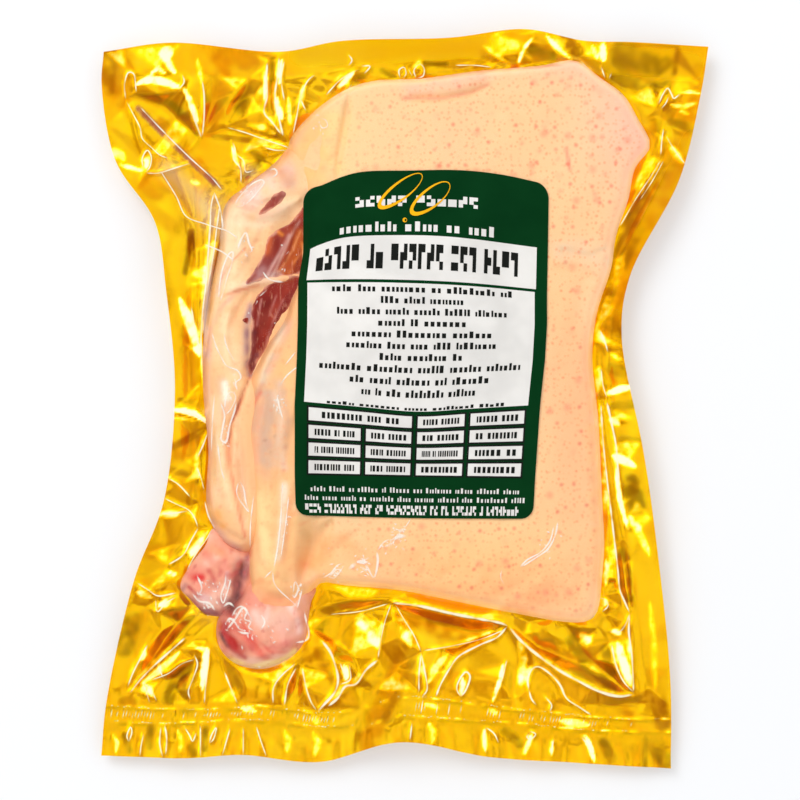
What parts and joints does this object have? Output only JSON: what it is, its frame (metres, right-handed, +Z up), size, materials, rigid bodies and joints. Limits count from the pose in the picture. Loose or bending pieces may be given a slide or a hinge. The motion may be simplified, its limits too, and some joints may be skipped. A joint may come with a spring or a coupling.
{
  "type": "vacuum-packed duck leg quarters",
  "caption": "Raw duck leg quarters sealed in a flat vacuum pouch with a gold foil back, a clear film front drawn over the meat, and a printed label.",
  "frame": {"origin": "on the table, under the middle of the pack's plan outline", "axes": "+Z up through the clear front, +Y along the pouch towards its factory-sealed end, +X across it"},
  "size_m": [0.2436, 0.2962, 0.0348],
  "materials": {
    "gold_foil": "bright metallised gold, crumpled",
    "duck_skin": "moist plucked skin under clear film",
    "duck_muscle": "wet raw muscle under clear film",
    "clear_film": "thin clear film, gloss",
    "label_green": "printed label, satin gloss",
    "label_white": "unprinted panels of the label, satin",
    "label_gold": "gold ink, satin"
  },
  "bodies": {
    "root": {"gold_foil_back": "gold_foil", "clear_bag": "duck_skin", "label": "label_green"}
  },
  "joints": []
}
